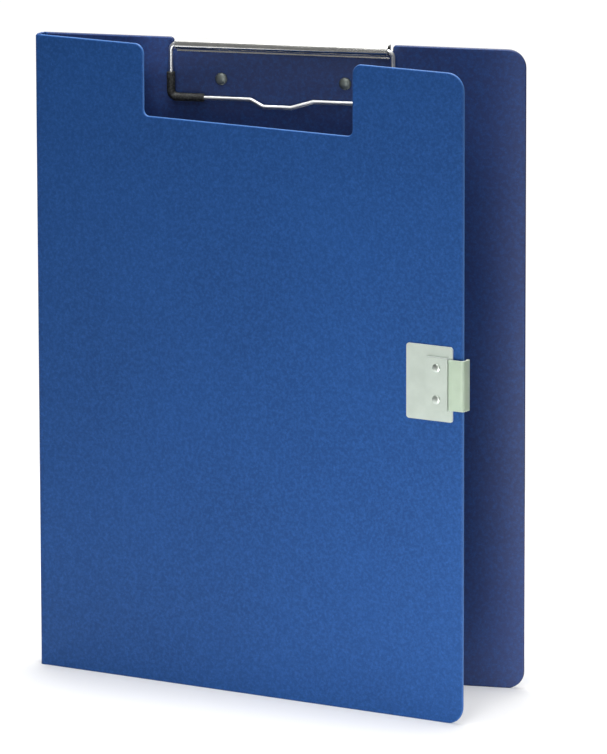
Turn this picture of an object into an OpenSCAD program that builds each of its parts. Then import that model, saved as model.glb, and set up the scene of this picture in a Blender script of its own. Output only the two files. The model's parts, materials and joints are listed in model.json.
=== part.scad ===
// Folding clipboard: a rear board with a wire clip, a spine and a front cover with a catch strap.
// It stands on its lower edges, a little open like a book, and every size is in millimetres.
// X runs along the rear board, -Y is the side that the sheets lie on, and Z is up.
// The origin is the middle of the rear board's lower edge, halfway through its thickness.

/* [Boards] */
// Width of each board, from its fold line to its free edge
board_w = 245; // [180:1:320]
// Height of the boards and of the spine
board_h = 320; // [240:1:450]
// Thickness of the boards and of the spine
board_t = 1.8; // [1.4:0.1:3]
// How much of the round lower edge is cut away, so that the boards stand on a flat
foot_cut = 0.15; // [0.1:0.01:0.4]
// Radius of the free corners
corner_r = 9; // [4:0.5:25]
// Distance between the two fold lines
spine_w = 8; // [7:0.5:16]
// From a fold line to the edge of the board beside it
fold_gap = 1.3; // [1.2:0.05:1.8]
// Thickness of the web that joins a fold's bead to the spine
fold_web = 0.8; // [0.4:0.1:1.2]
// Opening of the cover as it stands, from lying parallel to the rear board
open_angle = 17; // [4:0.5:60]

/* [Cover notch] */
// Width of the notch that leaves the clip free
notch_w = 120; // [112:1:150]
// Depth of the notch below the top edge
notch_d = 35.5; // [34:0.5:60]
// Radius of the notch's two inner corners
notch_r = 3; // [1:0.5:8]
// Radius of the two shoulders where the notch meets the top edge
shoulder_r = 5; // [1:0.5:10]

/* [Clip plate] */
// Length of the clip's rolled bar
bar_len = 108; // [80:1:110]
// Outside radius of the bar's rolled nose
bar_r = 2.8; // [2.4:0.1:3.4]
// Thickness of the clip's sheet steel
sheet_t = 0.7; // [0.5:0.05:0.9]
// Height of the flange that stands on the board under the bar
flange_h = 1.9; // [1.5:0.1:5]
// Height of the leg that runs down the back of the board
back_leg_h = 32; // [26:0.5:50]
// Radius of the back leg's lower corners
back_leg_r = 5; // [1:0.5:10]
// Depth of the cut in the board's top edge that the clip reaches through
cut_d = 3.5; // [3.4:0.1:4]
// Room beside the bar's ends in that cut
cut_side = 1.5; // [1:0.5:6]
// Radius of the cut's two inner corners
cut_r = 0.8; // [0.5:0.1:1]
// Radius of the cut's two shoulders
cut_shoulder_r = 2; // [1.6:0.1:2.5]
// Length of each crimped seat that the wire turns in
seat_len = 9; // [5:0.5:15]
// Distance from the bar's end to that seat
seat_in = 4; // [2:0.5:8]

/* [Wire bail] */
// Diameter of the spring wire
wire_d = 2.2; // [1.6:0.1:2.4]
// Distance between the centre lines of the two legs
bail_w = 113; // [110:0.5:115]
// From the pivot line down to the centre line of the gripping run
bail_drop = 26.5; // [22:0.5:28]
// Centre line radius of the four corners
bail_bend_r = 3.2; // [2.9:0.1:4]
// Length of wire that lies inside the bar on each side
bail_stub = 24; // [16:1:40]
// Width of the finger kink, its two slopes among it
kink_w = 32; // [28:0.5:50]
// Width of the kink's left slope
kink_left = 7; // [4:0.5:12]
// Width of the kink's right slope, which is the gentler one
kink_right = 11; // [4:0.5:14]
// Depth of the kink
kink_d = 3.5; // [1:0.25:4]
// Forward tilt of the kink, so that a finger gets under it
kink_tilt = 25; // [0:1:40]

/* [Sleeves and clip rivets] */
// Outside diameter of the rubber sleeves
sleeve_d = 4.4; // [4:0.1:5.2]
// Length of the sleeve up the leg, from the corner
sleeve_up = 12.5; // [6:0.5:16]
// Length of the sleeve along the gripping run, from the corner
sleeve_along = 17; // [8:0.5:28]
// Distance between the two rivets
clip_rivet_gap = 63; // [40:1:80]
// Distance of the rivets below the top edge
clip_rivet_drop = 20; // [14:0.5:24]
// Diameter of the domed rivet heads
clip_head_d = 6.2; // [4:0.1:8]
// Height of the domed rivet heads
clip_head_h = 1.5; // [0.8:0.1:2]
// Diameter of the rivet shanks
clip_shank_d = 3.2; // [2:0.1:3.6]

/* [Clasp] */
// Width of the clasp's plate
clasp_w = 26; // [20:0.5:34]
// Height of the clasp's plate
clasp_h = 37; // [30:0.5:50]
// Radius of the plate's corners
clasp_r = 1.4; // [0.5:0.1:4]
// Thickness of the plate
clasp_t = 0.6; // [0.4:0.05:1]
// From the plate's edge to the cover's free edge
clasp_inset = 5.5; // [3:0.5:12]
// Height of the clasp's middle above the lower edge
clasp_z = 168; // [60:1:230]
// Width of the plate's margin beyond the pocket's mouth
mouth_margin = 2.2; // [1:0.1:4]
// Length of the raised pocket
pocket_len = 12; // [9:0.5:16]
// Thickness of the pocket's skin
pocket_skin = 0.5; // [0.3:0.05:0.8]
// Width of the catch strap
strap_w = 25; // [22:0.5:27]
// Thickness of the catch strap
strap_t = 0.8; // [0.5:0.05:1]
// Inside radius of the strap's bends
strap_bend_r = 0.9; // [0.6:0.05:1.2]
// Reach of the catch lip behind the boards
lip_reach = 1; // [0.6:0.1:1.2]
// Thickness of the catch lip
lip_t = 0.7; // [0.5:0.05:1]
// Distance between the two clasp rivets
clasp_rivet_gap = 15.5; // [10:0.5:18]
// Diameter of the clasp rivet heads
clasp_head_d = 4.4; // [3:0.1:5]
// Height of the clasp rivet heads
clasp_head_h = 0.8; // [0.4:0.1:1.2]
// Diameter of the clasp rivet shanks
clasp_shank_d = 2.2; // [1.6:0.1:2.8]
// Diameter of the washers inside the cover
washer_d = 6.5; // [5:0.1:8]
// Thickness of the washers
washer_t = 0.5; // [0.3:0.05:0.8]

/* [Fits] */
// Gap between pieces that move past each other
move_gap = 0.3; // [0.2:0.05:0.5]
// Radial clearance of the wire in its seats
turn_fit = 0.05; // [0.02:0.01:0.1]
// Radial clearance of a rivet in its holes and of a sleeve on the wire
slip_fit = 0.03; // [0.01:0.01:0.1]
// Height of a clinched rivet tail
tail_h = 0.7; // [0.4:0.1:1]
// How far a clinched tail stands out round its shank
tail_out = 0.9; // [0.5:0.1:1.2]

/* [Hidden] */
$fn = 64;
tiny = 0.01;
half_t = board_t / 2;
half_open = open_angle / 2;
bead_r = fold_gap - move_gap;
wire_r = wire_d / 2;
sleeve_r = sleeve_d / 2;
clip_shank_r = clip_shank_d / 2;
clasp_shank_r = clasp_shank_d / 2;
board_mid = board_w / 2;

seat_r = bar_r - sheet_t / 2;

// The wire's pivot line lies so far in front of the board that its sleeves and seats clear it
bail_y = -half_t - move_gap - max(sleeve_r, seat_r);
bail_z = board_h - bar_r;
grip_z = bail_z - bail_drop;
leg_x = bail_w / 2;
// The wire swells by a hair where it is bent sharply
knee_r = wire_r * 1.03;
cut_floor = board_h - cut_d;
cut_w = bar_len + 2 * cut_side;
kink_half = kink_w / 2;
seat_x = bar_len / 2 - seat_in - seat_len;
clip_rivet_x = clip_rivet_gap / 2;
clip_rivet_z = board_h - clip_rivet_drop;

// Heights of the clasp's layers, measured outwards from the middle of the cover's thickness
clasp_top = half_t + clasp_t;
strap_under = clasp_top + move_gap;
strap_mid = strap_under + strap_t / 2;
strap_top = strap_under + strap_t;
pocket_roof = strap_top + slip_fit;
pocket_top = pocket_roof + pocket_skin;
clasp_right = board_w - clasp_inset;
clasp_left = clasp_right - clasp_w;
mouth_x = clasp_right - mouth_margin;
pocket_left = mouth_x - pocket_len;
flex_x = mouth_x + move_gap + strap_t / 2;
clasp_rivet_x = (pocket_left + mouth_x) / 2;
hook_inner = board_w + 0.4;
hook_back = 3 * half_t + 0.1 + lip_t;
washer_face = half_t + washer_t;

// Places, with x = 0 on the fold line that the piece turns about
module on_rear() {
    translate([-board_w / 2, 0, 0]) children();
}

module on_spine() {
    on_rear() rotate([0, 0, -90 - half_open]) children();
}

module on_cover() {
    on_spine() translate([spine_w, 0, 0]) rotate([0, 0, 90 - half_open]) children();
}

// An outline in x and z, given a thickness in y
module upright(y_front, y_back) {
    translate([0, y_back, 0]) rotate([90, 0, 0]) linear_extrude(y_back - y_front) children();
}

module rounded_box_outline(w, h, r) {
    translate([r, 0]) square([w - 2 * r, h]);
    translate([0, r]) square([w, h - 2 * r]);
    for (x = [r, w - r], z = [r, h - r]) translate([x, z]) circle(r);
}

// Outline of a board whose free corners are round, drawn smaller all round by the inset
module board_outline(inset) {
    left = fold_gap + inset;
    right = board_w - inset;
    low = inset - foot_cut;
    top = board_h - inset;
    r = corner_r - inset;
    translate([left, low]) square([right - r - left, top - low]);
    translate([left, low + r]) square([right - left, top - low - 2 * r]);
    for (z = [low + r, top - r]) translate([right - r, z]) circle(r);
}

// A recess in a board's top edge, with round inner corners and round shoulders
module recess_outline(w, d, inner_r, shoulder, inset) {
    half = w / 2 + inset;
    low = board_h - d - inset;
    r = inner_r + inset;
    s = shoulder - inset;
    top = board_h - inset;
    translate([board_mid, 0]) {
        translate([-half + r, low]) square([2 * (half - r), d + 1]);
        translate([-half, low + r]) square([2 * half, d + 1]);
        for (x = [-half + r, half - r]) translate([x, low + r]) circle(r);
        difference() {
            translate([-half - s, top - s]) square([2 * (half + s), s + 1]);
            for (x = [-half - s, half + s]) translate([x, top - s]) circle(s);
        }
    }
}

// A round bar in the xz plane, from one point to another
module rim_bar(from, to) {
    run = to - from;
    translate([from[0], 0, from[1]]) rotate([0, atan2(run[0], run[1]), 0])
        cylinder(r = half_t, h = norm(run));
}

// A quarter of a ring in the xz plane, from its start angle anticlockwise as seen from the front
module quarter_bend(path_r, tube_r, start) {
    rotate([90, 0, 0]) rotate([0, 0, start]) rotate_extrude(angle = 90)
        translate([path_r, 0]) circle(tube_r);
}

module rim_arc(centre, r, start) {
    translate([centre[0], 0, centre[1]]) quarter_bend(r, half_t, start);
}

// The round rim of a board, whose top edge is open over the recess and its shoulders
module board_rim(recess_w, shoulder) {
    left = fold_gap + half_t;
    right = board_w - half_t;
    low = half_t - foot_cut;
    top = board_h - half_t;
    r = corner_r - half_t;
    open_half = recess_w / 2 + shoulder;
    rim_bar([left, low], [right - r, low]);
    rim_arc([right - r, low + r], r, -90);
    rim_bar([right, low + r], [right, top - r]);
    rim_arc([right - r, top - r], r, 0);
    rim_bar([right - r, top], [board_mid + open_half, top]);
    rim_bar([board_mid - open_half, top], [left, top]);
    rim_bar([left, top], [left, low]);
    for (z = [low, top]) translate([left, 0, z]) sphere(half_t);
}

// The round rim of a recess, which meets the board's rim at its shoulders
module recess_rim(w, d, inner_r, shoulder) {
    half = w / 2;
    low = board_h - d;
    for (side = [-1, 1]) translate([board_mid, 0, 0]) {
        rim_bar([side * (half + half_t), board_h - shoulder], [side * (half + half_t), low + inner_r]);
        rim_arc([side * (half + shoulder), board_h - shoulder], shoulder - half_t, side < 0 ? 0 : 90);
        rim_arc([side * (half - inner_r), low + inner_r], inner_r + half_t, side < 0 ? 180 : 270);
    }
    rim_bar([board_mid - half + inner_r, low - half_t], [board_mid + half - inner_r, low - half_t]);
}

// A board with a rounded edge all round, one recess in its top edge and a flat to stand on
module soft_board(w, d, inner_r, shoulder) {
    difference() {
        union() {
            upright(-half_t, half_t) difference() {
                board_outline(half_t);
                recess_outline(w, d, inner_r, shoulder, half_t);
            }
            board_rim(w, shoulder);
            recess_rim(w, d, inner_r, shoulder);
        }
        translate([0, -board_t, -board_t]) cube([board_w, 2 * board_t, board_t]);
    }
}

// A domed rivet along y: its head in front, its shank, and its clinched tail behind
module rivet(head_r, head_h, shank_r, y_head, y_tail) {
    dome_r = (head_r * head_r + head_h * head_h) / (2 * head_h);
    translate([0, y_head, 0]) rotate([90, 0, 0]) intersection() {
        translate([0, 0, head_h - dome_r]) sphere(dome_r);
        cylinder(r = head_r, h = head_h + 1);
    }
    translate([0, y_tail + tail_h, 0]) rotate([90, 0, 0]) cylinder(r = shank_r, h = y_tail + tail_h - y_head);
    translate([0, y_tail + tail_h, 0]) rotate([90, 0, 0]) cylinder(r = shank_r + tail_out, h = tail_h);
}

module rivet_hole(shank_r, y_front, y_back) {
    translate([0, y_back + 1, 0]) rotate([90, 0, 0])
        cylinder(r = shank_r + slip_fit, h = y_back - y_front + 2);
}

// A round bar along x from one point to another at one height
module rod_x(r, from_x, to_x) {
    translate([from_x, 0, 0]) rotate([0, 90, 0]) cylinder(r = r, h = to_x - from_x);
}

module rear_board() {
    color("#1f3f86") difference() {
        on_rear() soft_board(cut_w, cut_d, cut_r, cut_shoulder_r);
        for (side = [-1, 1]) translate([side * clip_rivet_x, 0, clip_rivet_z])
            rivet_hole(clip_shank_r, -half_t, half_t);
    }
}

module spine_panel() {
    color("#1c3a7c") on_spine() upright(-half_t, half_t)
        translate([fold_gap, 0]) square([spine_w - 2 * fold_gap, board_h]);
}

module front_cover() {
    color("#2450a4") on_cover() difference() {
        soft_board(notch_w, notch_d, notch_r, shoulder_r);
        for (side = [-1, 1]) translate([clasp_rivet_x, 0, clasp_z + side * clasp_rivet_gap / 2])
            rivet_hole(clasp_shank_r, -half_t, half_t);
    }
}

// A fold is a round bead on the fold line with a thin web into the spine
module fold_strip(way) {
    cylinder(r = bead_r, h = board_h);
    translate([way > 0 ? 0 : -fold_gap, -fold_web / 2, 0]) cube([fold_gap, fold_web, board_h]);
}

module rear_fold_strip() {
    color("#193470") on_spine() fold_strip(1);
}

module front_fold_strip() {
    color("#193470") on_spine() translate([spine_w, 0, 0]) fold_strip(-1);
}

// Section of the clip's sheet in y and z: over the board's edge, round the nose and back to the board
module clip_section() {
    nose_in = bar_r - sheet_t;
    translate([bail_y, bail_z + nose_in]) square([half_t + sheet_t - bail_y, sheet_t]);
    translate([half_t, cut_floor - 1]) square([sheet_t, board_h - cut_floor + 1]);
    intersection() {
        difference() {
            translate([bail_y, bail_z]) circle(bar_r);
            translate([bail_y, bail_z]) circle(nose_in);
        }
        translate([bail_y - bar_r, bail_z - bar_r]) square([bar_r, 2 * bar_r]);
    }
    translate([bail_y, bail_z - bar_r]) square([-half_t - bail_y, sheet_t]);
    translate([-half_t - sheet_t, bail_z - bar_r - flange_h + sheet_t]) square([sheet_t, flange_h]);
}

module clip_plate() {
    color("#d8dadc") difference() {
        union() {
            translate([-bar_len / 2, 0, 0]) rotate([90, 0, 90]) linear_extrude(bar_len) clip_section();
            translate([-bar_len / 2, 0, 0]) upright(half_t, half_t + sheet_t) back_leg_outline();
            for (from_x = [-seat_x - seat_len, seat_x]) translate([0, bail_y, bail_z])
                rod_x(seat_r, from_x, from_x + seat_len);
        }
        for (side = [-1, 1]) translate([side * clip_rivet_x, 0, clip_rivet_z])
            rivet_hole(clip_shank_r, half_t, half_t + sheet_t);
        for (from_x = [-seat_x - seat_len - 1, seat_x - 1]) translate([0, bail_y, bail_z])
            rod_x(wire_r + turn_fit, from_x, from_x + seat_len + 2);
    }
}

module back_leg_outline() {
    low = board_h - back_leg_h;
    translate([0, low]) rounded_box_outline(bar_len, back_leg_h - sheet_t, back_leg_r);
    translate([0, low + back_leg_r]) square([bar_len, back_leg_h - sheet_t - back_leg_r]);
}

// The bail's right half, from inside the bar round to the middle of the kink
module bail_half(slope_w) {
    bend_x = leg_x - bail_bend_r;
    leg_len = bail_drop - 2 * bail_bend_r;
    translate([0, 0, bail_z]) rod_x(wire_r, bar_len / 2 - bail_stub, bend_x);
    translate([bend_x, 0, bail_z - bail_bend_r]) quarter_bend(bail_bend_r, wire_r, 0);
    translate([leg_x, 0, grip_z + bail_bend_r]) cylinder(r = wire_r, h = leg_len);
    translate([bend_x, 0, grip_z + bail_bend_r]) quarter_bend(bail_bend_r, wire_r, -90);
    translate([0, 0, grip_z]) rod_x(wire_r, kink_half, bend_x);
    translate([kink_half, 0, grip_z]) sphere(knee_r);
    translate([0, 0, grip_z]) rotate([-kink_tilt, 0, 0]) kink_half_path(slope_w);
}

module kink_half_path(slope_w) {
    slope_len = norm([slope_w, kink_d]);
    slope_angle = atan2(kink_d, slope_w);
    bottom_end = kink_half - slope_w;
    translate([kink_half, 0, 0]) rotate([0, -90 - slope_angle, 0]) cylinder(r = wire_r, h = slope_len);
    translate([bottom_end, 0, -kink_d]) sphere(knee_r);
    translate([0, 0, -kink_d]) rod_x(wire_r, -tiny, bottom_end);
}

module wire_bail() {
    color("#e4e6e8") translate([0, bail_y, 0]) {
        bail_half(kink_right);
        mirror([1, 0, 0]) bail_half(kink_left);
    }
}

module sleeve_path(tube_r, extra) {
    bend_x = leg_x - bail_bend_r;
    translate([leg_x, 0, grip_z + bail_bend_r]) cylinder(r = tube_r, h = sleeve_up - bail_bend_r + extra);
    translate([bend_x, 0, grip_z + bail_bend_r]) quarter_bend(bail_bend_r, tube_r, -90);
    translate([0, 0, grip_z]) rod_x(tube_r, leg_x - sleeve_along - extra, bend_x);
}

module sleeve() {
    color("#161616") translate([0, bail_y, 0]) difference() {
        sleeve_path(sleeve_r, 0);
        sleeve_path(wire_r + slip_fit, 1);
    }
}

module left_sleeve() {
    mirror([1, 0, 0]) sleeve();
}

module right_sleeve() {
    sleeve();
}

module clip_rivet() {
    color("#4a4c50") rivet(clip_head_d / 2, clip_head_h, clip_shank_r, -half_t, half_t + sheet_t);
}

module left_clip_rivet() {
    translate([-clip_rivet_x, 0, clip_rivet_z]) clip_rivet();
}

module right_clip_rivet() {
    translate([clip_rivet_x, 0, clip_rivet_z]) clip_rivet();
}

// The plate lies on the cover, and its pocket is a low box that is open towards the cover's free edge
module clasp_plate() {
    room_w = strap_w + 2 * slip_fit;
    outer_w = room_w + 2 * pocket_skin;
    color("#cfd3c6") on_cover() difference() {
        union() {
            upright(-clasp_top, -half_t) translate([clasp_left, clasp_z - clasp_h / 2])
                rounded_box_outline(clasp_w, clasp_h, clasp_r);
            upright(-pocket_top + pocket_skin / 2, -half_t) translate([pocket_left, clasp_z - outer_w / 2])
                square([pocket_len, outer_w]);
            upright(-pocket_top, -half_t)
                translate([pocket_left + pocket_skin / 2, clasp_z - (outer_w - pocket_skin) / 2])
                square([pocket_len - pocket_skin / 2, outer_w - pocket_skin]);
        }
        upright(-pocket_roof, -clasp_top) translate([pocket_left + pocket_skin, clasp_z - room_w / 2])
            square([pocket_len, room_w]);
        for (side = [-1, 1]) translate([clasp_rivet_x, 0, clasp_z + side * clasp_rivet_gap / 2])
            rivet_hole(clasp_shank_r, -pocket_top, -half_t);
    }
}

// The strap's fixed end, clamped in the pocket by the rivets
module strap_root() {
    color("#c6d8b8") on_cover() difference() {
        translate([pocket_left + pocket_skin + slip_fit, -strap_top, clasp_z - strap_w / 2])
            cube([pocket_len - pocket_skin - slip_fit, strap_t, strap_w]);
        for (side = [-1, 1]) translate([clasp_rivet_x, 0, clasp_z + side * clasp_rivet_gap / 2])
            rivet_hole(clasp_shank_r, -strap_top, -strap_under);
    }
}

// Section of the strap's free end in x and y: over the edge of the cover, back past it, and a lip
module hook_section() {
    bend_x = hook_inner - strap_bend_r;
    bend_y = -strap_under + strap_bend_r;
    translate([flex_x, -strap_mid]) circle(strap_t / 2);
    translate([flex_x, -strap_top]) square([bend_x - flex_x, strap_t]);
    translate([bend_x, bend_y]) intersection() {
        difference() {
            circle(strap_bend_r + strap_t);
            circle(strap_bend_r);
        }
        translate([0, -strap_bend_r - strap_t]) square(strap_bend_r + strap_t);
    }
    translate([hook_inner, bend_y]) square([strap_t, hook_back - bend_y]);
    translate([hook_inner - lip_reach + lip_t / 2, hook_back - lip_t]) square([lip_reach, lip_t]);
    translate([hook_inner - lip_reach + lip_t / 2, hook_back - lip_t / 2]) circle(lip_t / 2);
}

module strap_hook() {
    color("#c6d8b8") on_cover() translate([0, 0, clasp_z - strap_w / 2]) linear_extrude(strap_w) hook_section();
}

module clasp_rivet(side) {
    color("#b9bcb6") on_cover() translate([clasp_rivet_x, 0, clasp_z + side * clasp_rivet_gap / 2])
        rivet(clasp_head_d / 2, clasp_head_h, clasp_shank_r, -pocket_top, washer_face);
}

module upper_clasp_rivet() {
    clasp_rivet(1);
}

module lower_clasp_rivet() {
    clasp_rivet(-1);
}

module clasp_washer(side) {
    color("#a8abae") on_cover() translate([clasp_rivet_x, 0, clasp_z + side * clasp_rivet_gap / 2]) difference() {
        translate([0, washer_face, 0]) rotate([90, 0, 0]) cylinder(d = washer_d, h = washer_t);
        rivet_hole(clasp_shank_r, half_t, washer_face);
    }
}

module upper_clasp_washer() {
    clasp_washer(1);
}

module lower_clasp_washer() {
    clasp_washer(-1);
}

rear_board();
spine_panel();
front_cover();
rear_fold_strip();
front_fold_strip();
clip_plate();
wire_bail();
left_sleeve();
right_sleeve();
left_clip_rivet();
right_clip_rivet();
clasp_plate();
strap_root();
strap_hook();
upper_clasp_rivet();
lower_clasp_rivet();
upper_clasp_washer();
lower_clasp_washer();
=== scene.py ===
import bmesh
import bpy
import json
import math
from mathutils import Matrix, Vector

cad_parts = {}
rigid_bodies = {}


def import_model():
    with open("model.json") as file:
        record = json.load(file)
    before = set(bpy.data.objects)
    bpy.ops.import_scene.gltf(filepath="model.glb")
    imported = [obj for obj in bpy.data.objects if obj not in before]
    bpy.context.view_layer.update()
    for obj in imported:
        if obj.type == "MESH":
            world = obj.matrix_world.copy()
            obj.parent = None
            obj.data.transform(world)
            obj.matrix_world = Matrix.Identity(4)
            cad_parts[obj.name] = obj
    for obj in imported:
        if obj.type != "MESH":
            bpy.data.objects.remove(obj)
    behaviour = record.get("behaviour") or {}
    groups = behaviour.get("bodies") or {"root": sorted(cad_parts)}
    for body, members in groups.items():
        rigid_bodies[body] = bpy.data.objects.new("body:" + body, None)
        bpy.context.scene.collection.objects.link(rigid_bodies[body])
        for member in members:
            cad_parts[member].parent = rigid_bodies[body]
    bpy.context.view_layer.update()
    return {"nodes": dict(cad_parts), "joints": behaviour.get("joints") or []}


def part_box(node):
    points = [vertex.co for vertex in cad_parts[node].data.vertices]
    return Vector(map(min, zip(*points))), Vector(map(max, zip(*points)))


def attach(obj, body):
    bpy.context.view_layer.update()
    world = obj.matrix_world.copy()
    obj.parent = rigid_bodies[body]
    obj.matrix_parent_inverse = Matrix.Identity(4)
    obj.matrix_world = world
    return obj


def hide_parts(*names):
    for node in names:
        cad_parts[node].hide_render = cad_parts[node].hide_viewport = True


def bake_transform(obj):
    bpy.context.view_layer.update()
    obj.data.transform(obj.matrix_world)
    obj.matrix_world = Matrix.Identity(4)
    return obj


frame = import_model()
print("frame loaded:", len(frame["nodes"]), "nodes")

mm = 0.001
axisX, axisY, axisZ = Vector((1, 0, 0)), Vector((0, 1, 0)), Vector((0, 0, 1))

# Places worked out from the frame: the two fold lines, the spine's and the cover's own axes
joints = {joint["name"]: Vector(joint["pos_m"]) for joint in frame["joints"]}
rearFold = Vector((*joints["rear_fold"].xy, 0))
coverFold = Vector((*joints["cover_fold"].xy, 0))
spineAcross = (coverFold - rearFold).normalized()
halfOpen = math.atan2(-spineAcross.x, -spineAcross.y)
coverPlace = Matrix.Translation(coverFold) @ Matrix.Rotation(-2 * halfOpen, 4, "Z")
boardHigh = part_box("rear_board")[1]
boardHalf = boardHigh.y                                    # half of the board's thickness
boardTop = boardHigh.z


def boxOn(place, node):                                    # lowest and highest corner along a place's axes
    turned = place.inverted()
    points = [turned @ v.co for v in frame["nodes"][node].data.vertices]
    low = Vector(min(p[i] for p in points) for i in range(3))
    high = Vector(max(p[i] for p in points) for i in range(3))
    return low, high


# Small helpers for shader trees
noiseSpan = (0.3, 0.7)                                     # most of a noise's values lie between these


def addNode(tree, kind, values=None, **settings):
    node = tree.nodes.new(kind)
    for name, value in settings.items():
        setattr(node, name, value)
    for name, value in (values or {}).items():
        node.inputs[name].default_value = value
    return node


def newFinish(name):
    material = bpy.data.materials.new(name)
    material.use_nodes = True
    tree = material.node_tree
    tree.nodes.clear()
    out = addNode(tree, "ShaderNodeOutputMaterial")
    shader = addNode(tree, "ShaderNodeBsdfPrincipled")
    tree.links.new(shader.outputs["BSDF"], out.inputs["Surface"])
    coords = addNode(tree, "ShaderNodeTexCoord")
    return material, tree, shader, coords.outputs["Object"]


def scaled(tree, vector, scale):
    mapping = addNode(tree, "ShaderNodeMapping", {"Scale": scale})
    tree.links.new(vector, mapping.inputs["Vector"])
    return mapping.outputs["Vector"]


def noise(tree, vector, scale, detail=2.0, rough=0.5):
    node = addNode(tree, "ShaderNodeTexNoise", {"Scale": scale, "Detail": detail, "Roughness": rough})
    tree.links.new(vector, node.inputs["Vector"])
    return node.outputs["Fac"]


def spread(tree, source, fromLow, fromHigh, low, high):
    node = addNode(tree, "ShaderNodeMapRange",
                   {"From Min": fromLow, "From Max": fromHigh, "To Min": low, "To Max": high})
    tree.links.new(source, node.inputs["Value"])
    return node.outputs["Result"]


def mixTones(tree, factor, first, second):
    node = addNode(tree, "ShaderNodeMix", data_type="RGBA")
    tree.links.new(factor, node.inputs[0])
    for socket, tone in zip([s for s in node.inputs if s.type == "RGBA"], (first, second)):
        if isinstance(tone, tuple):
            socket.default_value = (*tone, 1)
        else:
            tree.links.new(tone, socket)
    return next(s for s in node.outputs if s.type == "RGBA")


def addBump(tree, shader, height, strength, distance):
    bump = addNode(tree, "ShaderNodeBump", {"Strength": strength, "Distance": distance})
    tree.links.new(height, bump.inputs["Height"])
    tree.links.new(bump.outputs["Normal"], shader.inputs["Normal"])


def facing(tree, place, axis):                             # 1 where the surface faces along the axis
    turned = addNode(tree, "ShaderNodeVectorMath", operation="DOT_PRODUCT")
    tree.links.new(place.node.outputs["Normal"], turned.inputs[0])
    turned.inputs[1].default_value = axis
    size = addNode(tree, "ShaderNodeMath", operation="ABSOLUTE")
    tree.links.new(turned.outputs["Value"], size.inputs[0])
    return size.outputs["Value"]


# Helpers for meshes
meshCare = {
    "mergeDistance": 0.002 * mm,
    "flatWithin": 0.5,         # degrees, as are the next two
    "sharpFrom": 35,
    "smoothBelow": 40,
    "roundSegments": 3,
}


def newPiece(name, mesh, material):
    mesh.materials.clear()
    mesh.materials.append(material)
    piece = bpy.data.objects.new(name, mesh)
    bpy.context.scene.collection.objects.link(piece)
    return piece


def dress(piece, body, slot, *nodes):
    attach(piece, body)
    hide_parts(*nodes)


def smoothBelow(mesh, degrees):
    mesh.shade_smooth()
    mesh.set_sharp_from_angle(angle=math.radians(degrees))


def roundEdges(work, edges, offset, segments):
    bmesh.ops.bevel(work, geom=edges, offset=offset, segments=segments, profile=0.5, affect="EDGES",
                    clamp_overlap=True)


def cleanCopy(node):                                       # a node's triangles, merged into whole faces
    work = bmesh.new()
    work.from_mesh(frame["nodes"][node].data)
    bmesh.ops.remove_doubles(work, verts=work.verts, dist=meshCare["mergeDistance"])
    bmesh.ops.dissolve_limit(work, angle_limit=math.radians(meshCare["flatWithin"]), verts=work.verts,
                             edges=work.edges)
    return work


def plainMesh(piece):                                      # leaves what the modifiers make, without them
    view = bpy.context.evaluated_depsgraph_get()
    mesh = bpy.data.meshes.new_from_object(piece.evaluated_get(view), preserve_all_data_layers=True,
                                           depsgraph=view)
    name = piece.name
    data = piece.data
    bpy.data.objects.remove(piece)
    bpy.data.batch_remove([data])
    made = bpy.data.objects.new(name, mesh)
    bpy.context.scene.collection.objects.link(made)
    return made


def softPiece(work, name, material, edgeRound):            # its sharp edges are rounded a little
    sharpFrom = math.radians(meshCare["sharpFrom"])
    sharp = [e for e in work.edges if len(e.link_faces) == 2 and e.calc_face_angle() > sharpFrom]
    roundEdges(work, sharp, edgeRound, meshCare["roundSegments"])
    bmesh.ops.recalc_face_normals(work, faces=work.faces)
    mesh = bpy.data.meshes.new(name)
    work.to_mesh(mesh)
    work.free()
    smoothBelow(mesh, meshCare["smoothBelow"])
    piece = newPiece(name, mesh, material)
    flatten = piece.modifiers.new("keepFlatsFlat", "WEIGHTED_NORMAL")
    flatten.keep_sharp = True
    return plainMesh(piece)


def runNodes(piece, tree, values):
    modifier = piece.modifiers.new(tree.name, "NODES")
    modifier.node_group = tree
    sockets = {s.name: s.identifier for s in tree.interface.items_tree if s.in_out == "INPUT"}
    for name, value in values.items():
        modifier[sockets[name]] = value
    return plainMesh(piece)


def newGeometryTree(name, inputs):
    tree = bpy.data.node_groups.new(name, "GeometryNodeTree")
    tree.interface.new_socket("Geometry", in_out="INPUT", socket_type="NodeSocketGeometry")
    for label, kind in inputs.items():
        tree.interface.new_socket(label, in_out="INPUT", socket_type=kind)
    tree.interface.new_socket("Geometry", in_out="OUTPUT", socket_type="NodeSocketGeometry")
    return tree, tree.nodes.new("NodeGroupInput"), tree.nodes.new("NodeGroupOutput")


# The camera stands at the photograph's angle
cameraView = {
    "place": Vector((0.94109, -3.53884, 0.88925)),
    "lens": 359.82,            # mm
    "sensor": 36,
    "clip": (0.05, 50),
    "yaw": 14.7444,            # degrees, as are the next two
    "pitch": 11.3915,
    "roll": 0.1343,
}


def makeCamera(view):
    data = bpy.data.cameras.new("photoCamera")
    data.lens = view["lens"]
    data.sensor_width = view["sensor"]
    data.clip_start, data.clip_end = view["clip"]
    camera = bpy.data.objects.new("photoCamera", data)
    bpy.context.scene.collection.objects.link(camera)
    turn = (Matrix.Rotation(math.radians(view["yaw"]), 4, "Z")
            @ Matrix.Rotation(math.radians(90 - view["pitch"]), 4, "X")
            @ Matrix.Rotation(math.radians(-view["roll"]), 4, "Z"))
    camera.matrix_world = Matrix.Translation(view["place"]) @ turn
    bpy.context.scene.camera = camera


makeCamera(cameraView)
print("camera set")

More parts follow.
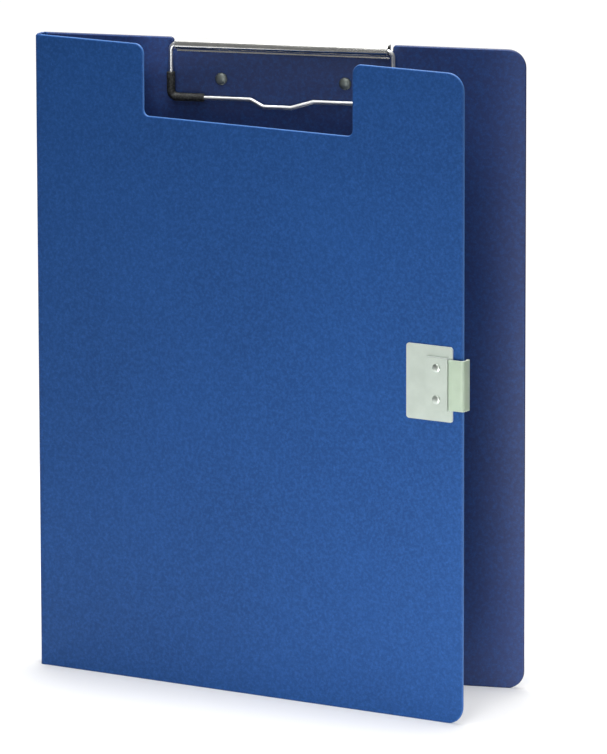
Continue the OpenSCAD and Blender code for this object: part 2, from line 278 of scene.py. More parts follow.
# Boards: one grained blue sheet, pressed thin and round at its rims
# Each look's rim tone is painted rim light: a light blue painted highlight on the cover's rims, a dark navy
# painted shade on the rear board's rims, none on the fold.
sheetLooks = {
    # Painted shade: the rear board's tones are a greyer, duller copy of the cover's blue, for its place
    # behind the cover.
    "rear": {"tone": (0.0270, 0.0540, 0.1980), "deepTone": (0.0230, 0.0430, 0.1550),
             "rimShadingTone": (0.0080, 0.0200, 0.0700), "rimShadingShare": 0.9, "gloss": 0.45},
    "cover": {"tone": (0.0075, 0.0590, 0.2230), "deepTone": (0.0060, 0.0490, 0.1860),
              "rimShadingTone": (0.0900, 0.2300, 0.5600), "rimShadingShare": 0.6, "gloss": 0.25},
    "fold": {"tone": (0.0095, 0.0550, 0.2050), "deepTone": (0.0080, 0.0460, 0.1700),
             "rimShadingTone": (0.0095, 0.0550, 0.2050), "rimShadingShare": 0.0, "gloss": 0.22},
}
boardGrain = {
    "broadScale": 14,
    "fleckTone": (0.0260, 0.1200, 0.3900),
    "fleckScale": 620,
    "fleckSpan": (0.4, 0.7),
    "fleckShare": 0.5,
    "size": 0.75 * mm,
    "depth": 0.04 * mm,
    "strength": 0.5,
    "poreSpan": (0.15, 0.75),
    "poreShare": 0.45,
    "rimShadingSpan": (0.35, 0.9),
    "sheenScale": 700,
    "roughness": (0.43, 0.55),
}


def makeBoardVinyl(name, look, grainLook, faceNormal):
    material, tree, shader, place = newFinish(name)
    broad = spread(tree, noise(tree, place, grainLook["broadScale"], 3), *noiseSpan, 0.0, 1.0)
    sheet = mixTones(tree, broad, look["deepTone"], look["tone"])
    flecks = noise(tree, place, grainLook["fleckScale"], 2, 0.7)
    fleck = spread(tree, flecks, *grainLook["fleckSpan"], 0.0, grainLook["fleckShare"])
    sheet = mixTones(tree, fleck, sheet, grainLook["fleckTone"])
    grain = addNode(tree, "ShaderNodeTexVoronoi", {"Scale": 1 / grainLook["size"]}, feature="SMOOTH_F1")
    tree.links.new(place, grain.inputs["Vector"])
    pores = spread(tree, grain.outputs["Distance"], *grainLook["poreSpan"], 0.0, grainLook["poreShare"])
    sheet = mixTones(tree, pores, sheet, look["deepTone"])
    # Painted rim light: where the surface turns away from the board's face it takes the rim tone.
    rim = spread(tree, facing(tree, place, faceNormal), *grainLook["rimShadingSpan"], look["rimShadingShare"], 0.0)
    tree.links.new(mixTones(tree, rim, sheet, look["rimShadingTone"]), shader.inputs["Base Color"])
    sheen = spread(tree, noise(tree, place, grainLook["sheenScale"]), *noiseSpan, *grainLook["roughness"])
    tree.links.new(sheen, shader.inputs["Roughness"])
    addBump(tree, shader, grain.outputs["Distance"], grainLook["strength"], grainLook["depth"])
    shader.inputs["Specular IOR Level"].default_value = look["gloss"]
    return material


coverNormal = coverPlace.to_3x3() @ axisY
spineNormal = axisZ.cross(spineAcross)
boardVinyls = {
    "rear_board": makeBoardVinyl("rearBoardShadedVinyl", sheetLooks["rear"], boardGrain, axisY),
    "front_cover": makeBoardVinyl("coverVinyl", sheetLooks["cover"], boardGrain, coverNormal),
    "spine_panel": makeBoardVinyl("spineVinyl", sheetLooks["fold"], boardGrain, spineNormal),
}
for node, material in boardVinyls.items():
    board = frame["nodes"][node]
    board.data.materials.clear()
    board.data.materials.append(material)
print("boards finished")

# Folds: the same sheet runs round the spine as a soft hinge, round outside and creased inside
foldShape = {
    "reach": 2.2 * mm,         # how far it lies on the board and on the spine
    "proud": 0.02 * mm,
    "endSlope": 0.15 * mm,     # its ends run out over this length
    "endShare": 0.9,
    "creaseDepth": 0.45 * mm,  # from the fold line to the bottom of the inner crease
    "creaseHalf": 0.25 * mm,
    "arcSteps": 14,
    "rimFrom": 1.05,           # the rounded rim begins this many half thicknesses below the top
    "rimSteps": 7,
    "heightSteps": 24,
    "turnBand": 0.36 * mm,     # half the band in which it bends
    "smoothBelow": 32,
}


def foldSection(shape, turn, thin):                        # along one side, round the outside and back inside
    outer = (boardHalf + shape["proud"]) * thin
    inner = (boardHalf - shape["proud"]) * thin
    reach, share = shape["reach"], shape["endShare"]
    flat = reach - shape["endSlope"]
    corner = inner * math.tan(turn / 2) + shape["creaseHalf"]
    points = [Vector((-reach, -outer * share, 0)), Vector((-flat, -outer, 0))]
    for step in range(shape["arcSteps"] + 1):
        angle = turn * step / shape["arcSteps"]
        points.append(Vector((outer * math.sin(angle), -outer * math.cos(angle), 0)))
    away = Matrix.Rotation(turn, 3, "Z")
    beyond = [(flat, -outer), (reach, -outer * share), (reach, inner * share), (flat, inner), (corner, inner)]
    points += [away @ Vector((x, y, 0)) for x, y in beyond]
    points.append(Matrix.Rotation(turn / 2, 3, "Z") @ Vector((0, shape["creaseDepth"] * thin, 0)))
    points += [Vector((x, y, 0)) for x, y in [(-corner, inner), (-flat, inner), (-reach, inner * share)]]
    return points


def foldLevels(shape):                                     # heights with the share of the thickness there
    straight = boardTop - boardHalf * shape["rimFrom"]
    levels = [(straight * i / shape["heightSteps"], 1.0) for i in range(shape["heightSteps"] + 1)]
    for step in range(1, shape["rimSteps"]):
        rise = math.sin(math.pi / 2 * step / shape["rimSteps"])
        levels.append((boardTop - boardHalf + boardHalf * rise, math.sqrt(1 - rise * rise)))
    return levels


def makeFoldSkin(name, shape, place, turn, material):      # place has x along the first side and -y outside
    work = bmesh.new()
    rings = []
    for z, thin in foldLevels(shape):
        section = [place @ p for p in foldSection(shape, turn, thin)]
        rings.append([work.verts.new((p.x, p.y, z)) for p in section])
    for below, above in zip(rings, rings[1:]):
        for i in range(len(below)):
            j = (i + 1) % len(below)
            work.faces.new((below[i], below[j], above[j], above[i]))
    work.faces.new(rings[0])
    work.faces.new(rings[-1])
    bmesh.ops.recalc_face_normals(work, faces=work.faces)
    bmesh.ops.triangulate(work, faces=[f for f in work.faces if len(f.verts) > 4])
    mesh = bpy.data.meshes.new(name)
    work.to_mesh(mesh)
    work.free()
    smoothBelow(mesh, shape["smoothBelow"])
    return newPiece(name, mesh, material)


def turnedTo(origin, across):                              # a place whose x runs along a direction
    return Matrix.Translation(origin) @ Matrix.Rotation(math.atan2(across.y, across.x), 4, "Z")


bendBack = math.pi / 2 - halfOpen
foldVinyl = makeBoardVinyl("foldVinyl", sheetLooks["fold"], boardGrain, coverNormal)
rearSkin = makeFoldSkin("rearFoldSkin", foldShape, turnedTo(rearFold, -axisX), bendBack, foldVinyl)
coverSkin = makeFoldSkin("coverFoldSkin", foldShape, turnedTo(coverFold, spineAcross), bendBack, foldVinyl)


def blendAcross(skin):
    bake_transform(skin)


blendAcross(rearSkin)
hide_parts("rear_fold_strip")
blendAcross(coverSkin)
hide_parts("front_fold_strip")
print("fold skins made")

# Metals
metalLooks = {
    "barPlating": {"tone": (0.86, 0.86, 0.83), "roughness": (0.12, 0.24), "stretch": (30, 900, 900)},
    "wirePlating": {"tone": (0.97, 0.97, 0.95), "roughness": (0.34, 0.4), "stretch": (60, 60, 60)},
    "darkSteel": {"tone": (0.300, 0.335, 0.315), "roughness": (0.4, 0.5), "stretch": (500, 500, 500)},
    "satinRivet": {"tone": (0.62, 0.68, 0.62), "roughness": (0.28, 0.4), "stretch": (500, 500, 500)},
    "washerSteel": {"tone": (0.46, 0.47, 0.48), "roughness": (0.3, 0.45), "stretch": (700, 700, 700)},
}
metalWear = {
    "scale": 160,
    "dull": 0.84,              # brightness that is left in the worn places
    "streakStrength": 0.1,
    "streakDepth": 0.03 * mm,
}


def makeMetal(name, look, wearLook):
    material, tree, shader, place = newFinish(name)
    streak = noise(tree, scaled(tree, place, look["stretch"]), 1.0, 4, 0.6)
    wear = spread(tree, noise(tree, place, wearLook["scale"], 3), *noiseSpan, 0.0, 1.0)
    dullTone = tuple(wearLook["dull"] * c for c in look["tone"])
    tree.links.new(mixTones(tree, wear, dullTone, look["tone"]), shader.inputs["Base Color"])
    tree.links.new(spread(tree, streak, *noiseSpan, *look["roughness"]), shader.inputs["Roughness"])
    shader.inputs["Metallic"].default_value = 1
    addBump(tree, shader, streak, wearLook["streakStrength"], wearLook["streakDepth"])
    return material


metals = {name: makeMetal(name, look, metalWear) for name, look in metalLooks.items()}

# Plastics and rubber
plasticLooks = {
    "claspEnamel": {
        "tone": (0.46, 0.52, 0.465), "dull": 0.9, "roughness": (0.34, 0.48), "cloudScale": 130,
        "speck": 600, "bump": 0.02 * mm,
        # Painted highlight: the plate's rims, turned away from its face, take a near-white rim tone.
        "rimShadingTone": (0.80, 0.86, 0.84), "rimShadingAxis": coverNormal, "rimShadingSpan": (0.9, 0.5), "rimShadingShare": 0.8,
    },
    "milkyStrap": {
        "tone": (0.425, 0.52, 0.405), "dull": 0.92, "roughness": (0.44, 0.58), "cloudScale": 130,
        "speck": 300, "bump": 0.015 * mm,
        # Painted highlight: the strap's faces turned up and down take a paler rim tone.
        "rimShadingTone": (0.78, 0.86, 0.76), "rimShadingAxis": axisZ, "rimShadingSpan": (0.3, 0.8), "rimShadingShare": 0.8,
        "milky": 0.4, "milkyDepth": 1.2 * mm, "milkyTone": (0.9, 1.0, 0.8),
    },
    "sleeveRubber": {
        "tone": (0.072, 0.076, 0.070), "dull": 0.14, "roughness": (0.49, 0.63), "mottled": (0.45, 0.7),
        "speck": 900, "bump": 0.09 * mm,
    },
}
speckStrength = 0.4


def makePlastic(name, look):
    material, tree, shader, place = newFinish(name)
    fine = noise(tree, place, look["speck"], 3, 0.6)
    if "mottled" in look:
        cloud = spread(tree, fine, *look["mottled"], 0.0, 1.0)
    else:
        cloud = spread(tree, noise(tree, place, look["cloudScale"], 3), *noiseSpan, 0.0, 1.0)
    dullTone = tuple(look["dull"] * c for c in look["tone"])
    shown = mixTones(tree, cloud, dullTone, look["tone"])
    # Painted rim light: faces take the rim tone by how they turn against the rim axis.
    if "rimShadingTone" in look:
        rim = spread(tree, facing(tree, place, look["rimShadingAxis"]), *look["rimShadingSpan"], 0.0, look["rimShadingShare"])
        shown = mixTones(tree, rim, shown, look["rimShadingTone"])
    tree.links.new(shown, shader.inputs["Base Color"])
    tree.links.new(spread(tree, fine, *noiseSpan, *look["roughness"]), shader.inputs["Roughness"])
    addBump(tree, shader, fine, speckStrength, look["bump"])
    if "milky" in look:
        shader.inputs["Subsurface Weight"].default_value = look["milky"]
        shader.inputs["Subsurface Radius"].default_value = look["milkyTone"]
        shader.inputs["Subsurface Scale"].default_value = look["milkyDepth"]
    return material


plastics = {name: makePlastic(name, look) for name, look in plasticLooks.items()}
print("metals and plastics mixed")

# Clip plate: the rolled sheet with its cut edges broken
clipShape = {"edgeRound": 0.14 * mm}
clipPlate = softPiece(cleanCopy("clip_plate"), "clipBar", metals["barPlating"], clipShape["edgeRound"])
dress(clipPlate, "rear", "bright_sheet", "clip_plate")

# Wire bail and sleeves: a round wire and two tubes that follow one route
pivot = joints["bail_pivot"]
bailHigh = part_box("wire_bail")[1]
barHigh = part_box("clip_plate")[1]
sleeveLow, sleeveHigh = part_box("left_sleeve")
bailShape = {
    "wireRadius": 1.1 * mm,
    "bendRadius": 3.2 * mm,
    "stub": 24 * mm,           # wire inside the bar on each side
    "kinkHalf": 16 * mm,
    "kinkLeft": 7 * mm,
    "kinkRight": 11 * mm,
    "kinkDepth": 3.5 * mm,
    "kinkTilt": 25,
    "kneeRadius": 2.0 * mm,
    "endRound": 0.4 * mm,
    "endDraw": 0.75,           # share of the radius that is left at the very end
    "arcStep": 0.35 * mm,
    "steps": 24,
}
sleeveShape = {
    "radius": (sleeveHigh.y - sleeveLow.y) / 2,
    "endRound": 0.35 * mm,
    "endDraw": 0.8,
    "wrinkle": 0.22 * mm,
    "wrinkleScale": 420,
    "lengthStep": 0.3 * mm,
    "steps": 32,
}
legX = bailHigh.x - bailShape["wireRadius"]
gripZ = sleeveLow.z + sleeveShape["radius"]


def roundedRoute(points, radii):                           # each corner becomes an arc of its radius
    route = [points[0]]
    for before, corner, after, radius in zip(points, points[1:], points[2:], radii):
        inward = (before - corner).normalized()
        onward = (after - corner).normalized()
        half = inward.angle(onward) / 2
        centre = corner + (inward + onward).normalized() * radius / math.sin(half)
        first = corner + inward * radius / math.tan(half) - centre
        last = corner + onward * radius / math.tan(half) - centre
        sweep = first.angle(last)
        count = max(4, round(sweep * radius / bailShape["arcStep"]))
        axis = first.cross(last).normalized()
        for i in range(count + 1):
            route.append(centre + Matrix.Rotation(sweep * i / count, 3, axis) @ first)
    route.append(points[-1])
    return route


def bailPoints(shape):
    tilt = Matrix.Rotation(math.radians(-shape["kinkTilt"]), 3, "X")
    drop = tilt @ Vector((0, 0, -shape["kinkDepth"]))
    grip = Vector((0, pivot.y, gripZ))
    stubX = barHigh.x - shape["stub"]
    corners = [
        Vector((-stubX, pivot.y, pivot.z)),
        Vector((-legX, pivot.y, pivot.z)),
        grip - axisX * legX,
        grip - axisX * shape["kinkHalf"],
        grip - axisX * (shape["kinkHalf"] - shape["kinkLeft"]) + drop,
        grip + axisX * (shape["kinkHalf"] - shape["kinkRight"]) + drop,
        grip + axisX * shape["kinkHalf"],
        grip + axisX * legX,
        Vector((legX, pivot.y, pivot.z)),
        Vector((stubX, pivot.y, pivot.z)),
    ]
    bend, knee = shape["bendRadius"], shape["kneeRadius"]
    return roundedRoute(corners, [bend, bend, knee, knee, knee, knee, bend, bend])


def evenRoute(route, step):                                # more points on the straight runs
    even = [route[0]]
    for start, end in zip(route, route[1:]):
        count = max(1, round((end - start).length / step))
        even += [start.lerp(end, (i + 1) / count) for i in range(count)]
    return even


def sleevePoints(side):
    low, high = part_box("left_sleeve" if side < 0 else "right_sleeve")
    nearEnd = high.x if side < 0 else low.x
    corners = [
        Vector((side * legX, pivot.y, high.z)),
        Vector((side * legX, pivot.y, gripZ)),
        Vector((nearEnd, pivot.y, gripZ)),
    ]
    route = roundedRoute(corners, [bailShape["bendRadius"]])
    return evenRoute(route, sleeveShape["lengthStep"])


def routeCurve(name, route):
    data = bpy.data.curves.new(name, "CURVE")
    data.dimensions = "3D"
    spline = data.splines.new("POLY")
    spline.points.add(len(route) - 1)
    for point, place in zip(spline.points, route):
        point.co = (*place, 1)
    curve = bpy.data.objects.new(name, data)
    bpy.context.scene.collection.objects.link(curve)
    return curve


def makeSweepTree():                                       # a swept circle, drawn in at its ends and wrinkled
    tree, source, result = newGeometryTree("roundSweep", {
        "Radius": "NodeSocketFloat",
        "End Round": "NodeSocketFloat",
        "End Draw": "NodeSocketFloat",
        "Wrinkle": "NodeSocketFloat",
        "Steps": "NodeSocketInt",
        "Finish": "NodeSocketMaterial",
    })
    link = tree.links.new
    circle = addNode(tree, "GeometryNodeCurvePrimitiveCircle")
    link(source.outputs["Radius"], circle.inputs["Radius"])
    link(source.outputs["Steps"], circle.inputs["Resolution"])
    # The tube draws in near both ends, by the distance that is left to the nearer one
    along = addNode(tree, "GeometryNodeSplineParameter")
    length = addNode(tree, "GeometryNodeSplineLength")
    rest = addNode(tree, "ShaderNodeMath", operation="SUBTRACT")
    link(length.outputs["Length"], rest.inputs[0])
    link(along.outputs["Length"], rest.inputs[1])
    nearer = addNode(tree, "ShaderNodeMath", operation="MINIMUM")
    link(rest.outputs["Value"], nearer.inputs[0])
    link(along.outputs["Length"], nearer.inputs[1])
    draw = addNode(tree, "ShaderNodeMapRange", interpolation_type="SMOOTHSTEP")
    link(nearer.outputs["Value"], draw.inputs["Value"])
    link(source.outputs["End Round"], draw.inputs["From Max"])
    link(source.outputs["End Draw"], draw.inputs["To Min"])
    setRadius = addNode(tree, "GeometryNodeSetCurveRadius")
    link(source.outputs["Geometry"], setRadius.inputs["Curve"])
    link(draw.outputs["Result"], setRadius.inputs["Radius"])
    sweep = addNode(tree, "GeometryNodeCurveToMesh")
    link(setRadius.outputs["Curve"], sweep.inputs["Curve"])
    link(circle.outputs["Curve"], sweep.inputs["Profile Curve"])
    link(draw.outputs["Result"], sweep.inputs["Scale"])
    sweep.inputs["Fill Caps"].default_value = True
    # The skin moves in and out round its own place, by a noise less its middle value
    ripple = addNode(tree, "ShaderNodeTexNoise", {"Scale": sleeveShape["wrinkleScale"], "Detail": 1.5})
    shifted = addNode(tree, "ShaderNodeMath", {1: 0.5}, operation="SUBTRACT")
    link(ripple.outputs["Fac"], shifted.inputs[0])
    depth = addNode(tree, "ShaderNodeMath", operation="MULTIPLY")
    link(shifted.outputs["Value"], depth.inputs[0])
    link(source.outputs["Wrinkle"], depth.inputs[1])
    normal = addNode(tree, "GeometryNodeInputNormal")
    offset = addNode(tree, "ShaderNodeVectorMath", operation="SCALE")
    link(normal.outputs["Normal"], offset.inputs[0])
    link(depth.outputs["Value"], offset.inputs["Scale"])
    moved = addNode(tree, "GeometryNodeSetPosition")
    link(sweep.outputs["Mesh"], moved.inputs["Geometry"])
    link(offset.outputs["Vector"], moved.inputs["Offset"])
    smooth = addNode(tree, "GeometryNodeSetShadeSmooth")
    link(moved.outputs["Geometry"], smooth.inputs["Geometry"])
    real = addNode(tree, "GeometryNodeRealizeInstances")
    link(smooth.outputs["Geometry"], real.inputs["Geometry"])
    painted = addNode(tree, "GeometryNodeSetMaterial")
    link(real.outputs["Geometry"], painted.inputs["Geometry"])
    link(source.outputs["Finish"], painted.inputs["Material"])
    link(painted.outputs["Geometry"], result.inputs["Geometry"])
    return tree


sweepTree = makeSweepTree()


def sweepAlong(name, route, shape, radius, wrinkle, finish):
    return runNodes(routeCurve(name, route), sweepTree, {
        "Radius": radius,
        "End Round": shape["endRound"],
        "End Draw": shape["endDraw"],
        "Wrinkle": wrinkle,
        "Steps": shape["steps"],
        "Finish": finish,
    })


bail = sweepAlong("wireBail", bailPoints(bailShape), bailShape, bailShape["wireRadius"], 0.0,
                  metals["wirePlating"])
dress(bail, "bail", "bright_wire", "wire_bail")
for side, name in ((-1, "left"), (1, "right")):
    wrinkle = sleeveShape["wrinkle"]
    sleeve = sweepAlong(name + "Sleeve", sleevePoints(side), sleeveShape, sleeveShape["radius"] - wrinkle / 2,
                        wrinkle, plastics["sleeveRubber"])
    dress(sleeve, "bail", "black_rubber", name + "_sleeve")
print("clip, bail and sleeves made")

# Rivets and washers: turned profiles, set out in pairs
clipRivetShape = {
    "headLip": 0.25 * mm,
    "shankRadius": 1.6 * mm,
    "tailRadius": 2.5 * mm,
    "steps": 40,
}
claspRivetShape = {
    "headLip": 0.12 * mm,
    "shankRadius": 1.1 * mm,
    "tailRadius": 2.0 * mm,
    "steps": 32,
}
rivetForm = {
    "domeSteps": 8,
    "headEdge": (0.02 * mm, 0.03 * mm),
    "tailEdge": 0.1 * mm,
    "tailWall": 0.25,          # shares of the tail's height
    "tailDish": 0.72,
    "tailRim": 0.45,           # share of its radius
    "tailSteps": 4,
    "smoothBelow": 50,
}
washerShape = {
    "hole": 1.13 * mm,
    "edge": 0.08 * mm,
    "steps": 40,
    "smoothBelow": 30,
}


def turnedMesh(name, profile, steps, smoothAngle, closed=False):
    work = bmesh.new()
    turns = [2 * math.pi * i / steps for i in range(steps)]
    rings = []
    for y, radius in profile:
        spots = turns if radius else turns[:1]             # on the axis one point is enough
        rings.append([work.verts.new((radius * math.cos(a), y, radius * math.sin(a))) for a in spots])
    following = rings[1:] + rings[:1] if closed else rings[1:]
    for first, second in zip(rings, following):
        for i in range(steps):
            corners = [first[i % len(first)], first[(i + 1) % len(first)],
                       second[(i + 1) % len(second)], second[i % len(second)]]
            work.faces.new(list(dict.fromkeys(corners)))   # a triangle where a ring is one point
    bmesh.ops.recalc_face_normals(work, faces=work.faces)
    mesh = bpy.data.meshes.new(name)
    work.to_mesh(mesh)
    work.free()
    smoothBelow(mesh, smoothAngle)
    return mesh


def rivetProfile(shape, form, front, headFace, headRadius, tailFace, tailEnd):
    shank, tail = shape["shankRadius"], shape["tailRadius"]
    rise = headFace - front - shape["headLip"]
    tailHeight = tailEnd - tailFace
    profile = [(front, 0.0)]                               # the dome's crown
    for i in range(1, form["domeSteps"] + 1):
        angle = math.pi / 2 * i / form["domeSteps"]
        profile.append((front + rise * (1 - math.cos(angle)), headRadius * math.sin(angle)))
    edgeHeight, edgeWidth = form["headEdge"]
    wall, rim = form["tailWall"], form["tailRim"]
    profile += [
        (headFace - edgeHeight, headRadius),
        (headFace, headRadius - edgeWidth),
        (headFace, shank),
        (tailFace, shank),
        (tailFace, tail - form["tailEdge"]),
        (tailFace + wall * tailHeight, tail),
    ]
    for i in range(1, form["tailSteps"] + 1):              # the clinched tail, dished at its middle
        angle = math.pi / 2 * i / form["tailSteps"]
        y = tailFace + (wall + (1 - wall) * math.sin(angle)) * tailHeight
        profile.append((y, (rim + (1 - rim) * math.cos(angle)) * tail))
    profile.append((tailFace + form["tailDish"] * tailHeight, 0.0))
    return profile


def washerProfile(shape, low, high, outer):
    hole, edge = shape["hole"], shape["edge"]
    return [(low, hole), (low, outer - edge), (low + edge, outer), (high - edge, outer), (high, outer - edge),
            (high, hole)]


def makePairTree():                                        # the second stands a spacing away from the first
    tree, source, result = newGeometryTree("setOutPair", {
        "First": "NodeSocketVector",
        "Spacing": "NodeSocketVector",
        "Turn": "NodeSocketVector",
        "Finish": "NodeSocketMaterial",
    })
    link = tree.links.new
    line = addNode(tree, "GeometryNodeMeshLine", {"Count": 2})
    link(source.outputs["First"], line.inputs["Start Location"])
    link(source.outputs["Spacing"], line.inputs["Offset"])
    spots = addNode(tree, "GeometryNodeInstanceOnPoints")
    link(line.outputs["Mesh"], spots.inputs["Points"])
    link(source.outputs["Geometry"], spots.inputs["Instance"])
    link(source.outputs["Turn"], spots.inputs["Rotation"])
    real = addNode(tree, "GeometryNodeRealizeInstances")
    link(spots.outputs["Instances"], real.inputs["Geometry"])
    painted = addNode(tree, "GeometryNodeSetMaterial")
    link(real.outputs["Geometry"], painted.inputs["Geometry"])
    link(source.outputs["Finish"], painted.inputs["Material"])
    link(painted.outputs["Geometry"], result.inputs["Geometry"])
    return tree


pairTree = makePairTree()


def makePair(name, mesh, place, first, spacing, finish):
    template = newPiece(name, mesh, finish)
    return runNodes(template, pairTree, {
        "First": place @ first,
        "Spacing": place.to_3x3() @ spacing,
        "Turn": place.to_euler(),
        "Finish": finish,
    })


def pairSpot(place, node):
    low, high = boxOn(place, node)
    middle = (low + high) / 2
    return low, high, Vector((middle.x, 0, middle.z))


rearPlace = Matrix.Identity(4)
clipLow, clipHigh, clipFirst = pairSpot(rearPlace, "left_clip_rivet")
clipSpacing = pairSpot(rearPlace, "right_clip_rivet")[2] - clipFirst
clipProfile = rivetProfile(clipRivetShape, rivetForm, clipLow.y, -boardHalf, (clipHigh.x - clipLow.x) / 2,
                           barHigh.y, clipHigh.y)
clipMesh = turnedMesh("clipRivet", clipProfile, clipRivetShape["steps"], rivetForm["smoothBelow"])
clipRivets = makePair("clipRivets", clipMesh, rearPlace, clipFirst, clipSpacing, metals["darkSteel"])
dress(clipRivets, "rear", "dark_rivet", "left_clip_rivet", "right_clip_rivet")

claspLow, claspHigh, claspFirst = pairSpot(coverPlace, "lower_clasp_rivet")
claspSpacing = pairSpot(coverPlace, "upper_clasp_rivet")[2] - claspFirst
washerLow, washerHigh, washerFirst = pairSpot(coverPlace, "lower_clasp_washer")
pocketCrown = boxOn(coverPlace, "clasp_plate")[0].y
claspProfile = rivetProfile(claspRivetShape, rivetForm, claspLow.y, pocketCrown,
                            (claspHigh.x - claspLow.x) / 2, washerHigh.y, claspHigh.y)
claspMesh = turnedMesh("claspRivet", claspProfile, claspRivetShape["steps"], rivetForm["smoothBelow"])
claspRivets = makePair("claspRivets", claspMesh, coverPlace, claspFirst, claspSpacing, metals["satinRivet"])
dress(claspRivets, "cover", "pale_rivet", "lower_clasp_rivet", "upper_clasp_rivet")

washerEdge = washerProfile(washerShape, washerLow.y, washerHigh.y, (washerHigh.x - washerLow.x) / 2)
washerMesh = turnedMesh("claspWasher", washerEdge, washerShape["steps"], washerShape["smoothBelow"],
                        closed=True)
claspWashers = makePair("claspWashers", washerMesh, coverPlace, washerFirst, claspSpacing,
                        metals["washerSteel"])
dress(claspWashers, "cover", "washer_steel", "lower_clasp_washer", "upper_clasp_washer")
print("rivets and washers made")

# Clasp: the pressed plate with its soft pocket, and the strap that comes out of it
claspShape = {
    "edgeRound": 0.14 * mm,
    "pocketRoot": 0.55 * mm,   # fillet where the pocket rises from the plate
    "rootSegments": 5,
    "crownStep": 0.25 * mm,    # the step below the pocket's crown, which becomes a slope
    "plateFace": -1.5 * mm,    # from the middle of the cover's thickness
    "pocketFrom": 225 * mm,    # from the cover's fold line
    "mouthFrom": 237.2 * mm,
    "strapRound": 0.2 * mm,
    "rootRound": 0.12 * mm,
}
same = 0.01 * mm                                           # closer points count as the same


def slopeCrownStep(work, place, shape):
    onPlace = place.inverted()
    spots = {vertex: onPlace @ vertex.co for vertex in work.verts}
    crown = [v for v, spot in spots.items() if abs(spot.y - pocketCrown) < same]
    foot = [v for v, spot in spots.items() if abs(spot.y - pocketCrown - shape["crownStep"]) < same]
    for vertex in foot:
        for above in crown:
            here, there = spots[vertex], spots[above]
            if abs(here.x - there.x) < same and abs(here.z - there.z) < same:
                vertex.co = above.co
    bmesh.ops.remove_doubles(work, verts=work.verts, dist=meshCare["mergeDistance"])
    bmesh.ops.dissolve_degenerate(work, dist=meshCare["mergeDistance"], edges=work.edges)


def pocketRootEdges(work, place, shape):
    onPlace = place.inverted()
    found = []
    for edge in work.edges:
        ends = [onPlace @ v.co for v in edge.verts]
        onPlate = all(abs(p.y - shape["plateFace"]) < same for p in ends)
        byPocket = all(p.x > shape["pocketFrom"] for p in ends)
        atMouth = all(p.x > shape["mouthFrom"] for p in ends)
        if onPlate and byPocket and not atMouth and not edge.is_convex:
            found.append(edge)
    return found


claspWork = cleanCopy("clasp_plate")
slopeCrownStep(claspWork, coverPlace, claspShape)
rootEdges = pocketRootEdges(claspWork, coverPlace, claspShape)
roundEdges(claspWork, rootEdges, claspShape["pocketRoot"], claspShape["rootSegments"])
claspPlate = softPiece(claspWork, "claspPlate", plastics["claspEnamel"], claspShape["edgeRound"])
dress(claspPlate, "cover", "pale_plate", "clasp_plate")
strapRoot = softPiece(cleanCopy("strap_root"), "strapRoot", plastics["milkyStrap"], claspShape["rootRound"])
dress(strapRoot, "cover", "pale_strap", "strap_root")
strapHook = softPiece(cleanCopy("strap_hook"), "strapHook", plastics["milkyStrap"], claspShape["strapRound"])
dress(strapHook, "hook", "pale_strap", "strap_hook")
print("clasp and strap made")

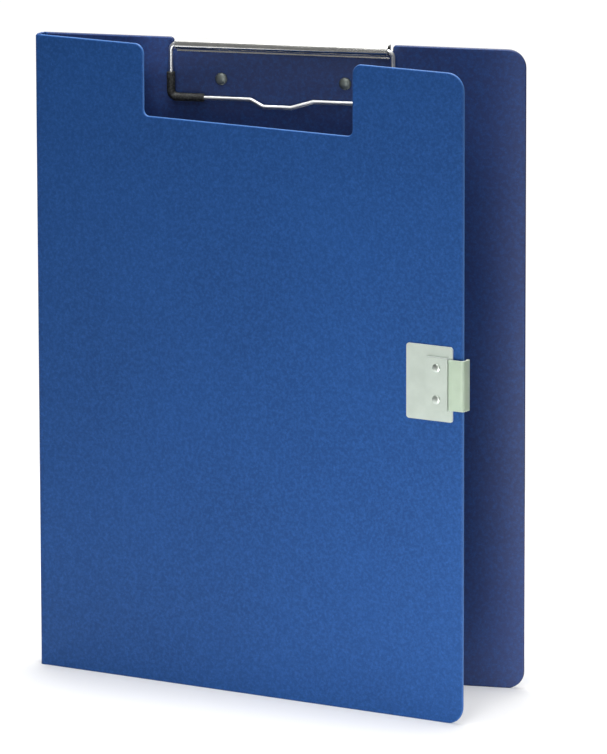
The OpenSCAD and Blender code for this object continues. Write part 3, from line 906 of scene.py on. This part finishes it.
# Pale floor, soft lights and a white studio
studio = {
    "floorTone": (0.92, 0.92, 0.92),
    "floorRoughness": 0.8,
    "floorGloss": 0.1,
    "floorSize": 0.9,
    "floorDrop": 0.05 * mm,    # keeps it just below the part's lower edges
    "roomStrength": 0.18,
    "backdropStrength": 1.05,
}
softLights = {
    "ceiling": {"place": (0.0, 0.05, 1.15), "aim": (0.0, 0.05, 0.0), "power": 7.5, "size": 1.5},
    "overhead": {"place": (0.0, 0.0, 1.10), "aim": (0.0, 0.0, 0.0), "power": 9.0, "size": 0.4},
    "topFront": {"place": (0.02, -0.95, 1.00), "aim": (0.0, -0.03, 0.18), "power": 1.7, "size": 0.35},
    "midFront": {"place": (0.07, -0.46, 0.24), "aim": (0.03, -0.04, 0.20), "power": 0.26, "size": 0.2},
    "lowFront": {"place": (0.10, -0.38, 0.04), "aim": (0.04, -0.02, 0.10), "power": 0.7, "size": 0.16},
    "leftSheen": {"place": (-0.40, -0.27, 0.12), "aim": (-0.10, -0.01, 0.16), "power": 0.05, "size": 0.16},
    "backPanel": {"place": (-0.30, 0.95, 0.80), "aim": (0.0, 0.0, 0.32), "power": 4.2, "size": 1.3},
}


def makeFloor(settings):
    half = settings["floorSize"] / 2
    mesh = bpy.data.meshes.new("paleFloor")
    corners = [(-half, -half, 0), (half, -half, 0), (half, half, 0), (-half, half, 0)]
    mesh.from_pydata(corners, [], [(0, 1, 2, 3)])
    material, _, shader, _ = newFinish("paleFloorPaint")
    shader.inputs["Base Color"].default_value = (*settings["floorTone"], 1)
    shader.inputs["Roughness"].default_value = settings["floorRoughness"]
    shader.inputs["Specular IOR Level"].default_value = settings["floorGloss"]
    floor = newPiece("paleFloor", mesh, material)
    floor.location.z = -settings["floorDrop"]


def makeSoftLight(name, settings):
    data = bpy.data.lights.new(name, "AREA")
    data.shape = "DISK"
    data.energy = settings["power"]
    data.size = settings["size"]
    light = bpy.data.objects.new(name, data)
    light.visible_camera = False
    bpy.context.scene.collection.objects.link(light)
    place = Vector(settings["place"])
    light.location = place
    light.rotation_mode = "QUATERNION"
    light.rotation_quaternion = (Vector(settings["aim"]) - place).to_track_quat("-Z", "Y")


def whiteGlow(tree, strength):
    glow = addNode(tree, "ShaderNodeBackground", {"Color": (1, 1, 1, 1), "Strength": strength})
    return glow.outputs["Background"]


def makeStudioWorld(settings):
    world = bpy.data.worlds.new("studioWorld")
    world.use_nodes = True
    tree = world.node_tree
    tree.nodes.clear()
    out = addNode(tree, "ShaderNodeOutputWorld")
    rays = addNode(tree, "ShaderNodeLightPath")
    mix = addNode(tree, "ShaderNodeMixShader")
    tree.links.new(rays.outputs["Is Camera Ray"], mix.inputs["Fac"])
    tree.links.new(whiteGlow(tree, settings["roomStrength"]), mix.inputs[1])
    tree.links.new(whiteGlow(tree, settings["backdropStrength"]), mix.inputs[2])
    tree.links.new(mix.outputs["Shader"], out.inputs["Surface"])
    bpy.context.scene.world = world


makeFloor(studio)
for name, settings in softLights.items():
    makeSoftLight(name, settings)
makeStudioWorld(studio)
bpy.context.scene.view_settings.view_transform = "Standard"
print("studio lit")
